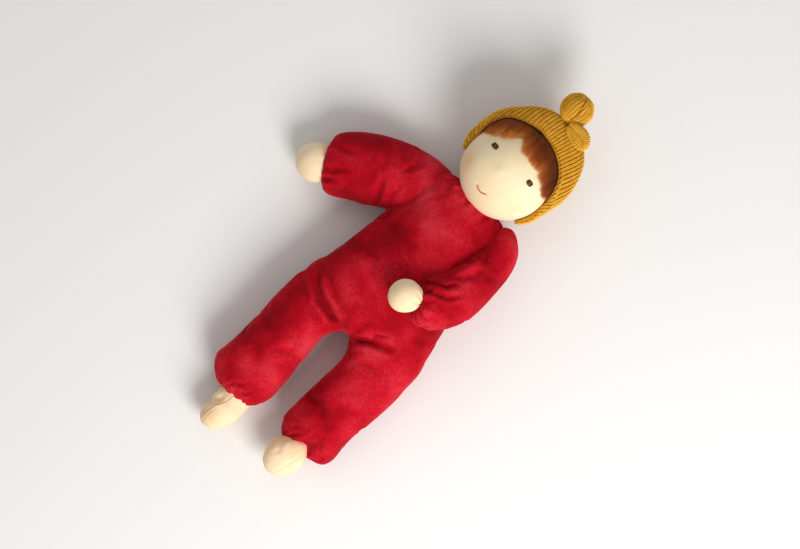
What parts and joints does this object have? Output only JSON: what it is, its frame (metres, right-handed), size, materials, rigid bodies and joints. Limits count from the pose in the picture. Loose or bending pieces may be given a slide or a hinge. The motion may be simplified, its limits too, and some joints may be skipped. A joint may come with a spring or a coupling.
{
  "type": "waldorf doll",
  "caption": "Soft cloth doll lying on its back: round stuffed head in a ribbed knit hat with a ball, plush suit, gathered cuffs, ball hands and egg feet, jointed limbs.",
  "frame": {"origin": "middle of the lying doll's footprint, on the surface that it lies on", "axes": "+Y towards the crown of the head, +Z out of the surface towards the doll's front, +X towards the doll's left side"},
  "size_m": [0.204, 0.4078, 0.0878],
  "materials": {
    "velour": "crimson cotton velour with a crushed nap",
    "wool": "carded sheep's wool",
    "skin": "fine cotton tricot, matt",
    "foot_skin": "fine cotton tricot, matt",
    "knit": "mustard wool in one by one rib",
    "mohair": "auburn brushed mohair",
    "eye_thread": "brown satin stitch",
    "mouth_thread": "coral stitch",
    "tie_thread": "strong waxed cotton thread"
  },
  "bodies": {
    "torso": {"torso_cover": "velour", "torso_filling": "wool"},
    "neck": {"neck_stem": "skin", "neck_tie": "tie_thread"},
    "head": {"head_skin": "skin", "head_core": "wool", "left_eye": "eye_thread", "right_eye": "eye_thread", "mouth": "mouth_thread", "hair": "mohair"},
    "hat": {"hat_cap": "knit", "hat_ball": "knit", "hat_ball_filling": "wool", "hat_ball_tie": "knit", "hat_tail_fold": "knit"},
    "right_arm": {"right_sleeve": "velour", "right_arm_filling": "wool"},
    "right_hand": {"right_hand_skin": "skin", "right_hand_filling": "wool"},
    "left_arm": {"left_sleeve": "velour", "left_arm_filling": "wool"},
    "left_hand": {"left_hand_skin": "skin", "left_hand_filling": "wool"},
    "right_leg": {"right_leg_cover": "velour", "right_leg_filling": "wool"},
    "right_foot": {"right_foot_skin": "foot_skin", "right_foot_filling": "wool"},
    "left_leg": {"left_leg_cover": "velour", "left_leg_filling": "wool"},
    "left_foot": {"left_foot_skin": "foot_skin", "left_foot_filling": "wool"}
  },
  "joints": [
    {"name": "neck_nod", "type": "hinge", "parent": "torso", "child": "neck", "pos_m": [0.02161, 0.06498, 0.028], "axis": [1, 0, 0], "range_deg": [-10, 10]},
    {"name": "head_turn", "type": "hinge", "parent": "neck", "child": "head", "pos_m": [0.02161, 0.11498, 0.0438], "axis": [0, 0.9535, 0.3013], "range_deg": [-45, 45]},
    {"name": "hat_off", "type": "slide", "parent": "head", "child": "hat", "axis": [0, 0.1994, -0.9799], "range_m": [0, 0.09]},
    {"name": "right_shoulder", "type": "hinge", "parent": "torso", "child": "right_arm", "pos_m": [-0.03439, 0.04898, 0.0205], "axis": [0, 1, 0], "range_deg": [0, 75]},
    {"name": "right_wrist", "type": "hinge", "parent": "right_arm", "child": "right_hand", "pos_m": [-0.08637, 0.00755, 0.0133], "axis": [0, 0, 1], "range_deg": [-25, 25]},
    {"name": "left_shoulder", "type": "hinge", "parent": "torso", "child": "left_arm", "pos_m": [0.06761, 0.06598, 0.039], "axis": [-1, 0, 0], "range_deg": [0, 90]},
    {"name": "left_wrist", "type": "hinge", "parent": "left_arm", "child": "left_hand", "pos_m": [0.04201, -0.01042, 0.0748], "axis": [0, 0, 1], "range_deg": [-25, 25]},
    {"name": "right_hip", "type": "hinge", "parent": "torso", "child": "right_leg", "pos_m": [-0.00139, -0.08302, 0.0215], "axis": [-1, 0, 0], "range_deg": [0, 90]},
    {"name": "right_ankle", "type": "hinge", "parent": "right_leg", "child": "right_foot", "pos_m": [0.01131, -0.16779, 0.0152], "axis": [1, 0, 0], "range_deg": [-20, 20]},
    {"name": "left_hip", "type": "hinge", "parent": "torso", "child": "left_leg", "pos_m": [0.07261, -0.08302, 0.0215], "axis": [-1, 0, 0], "range_deg": [0, 90]},
    {"name": "left_ankle", "type": "hinge", "parent": "left_leg", "child": "left_foot", "pos_m": [0.07803, -0.15998, 0.0152], "axis": [1, 0, 0], "range_deg": [-10, 20]}
  ]
}
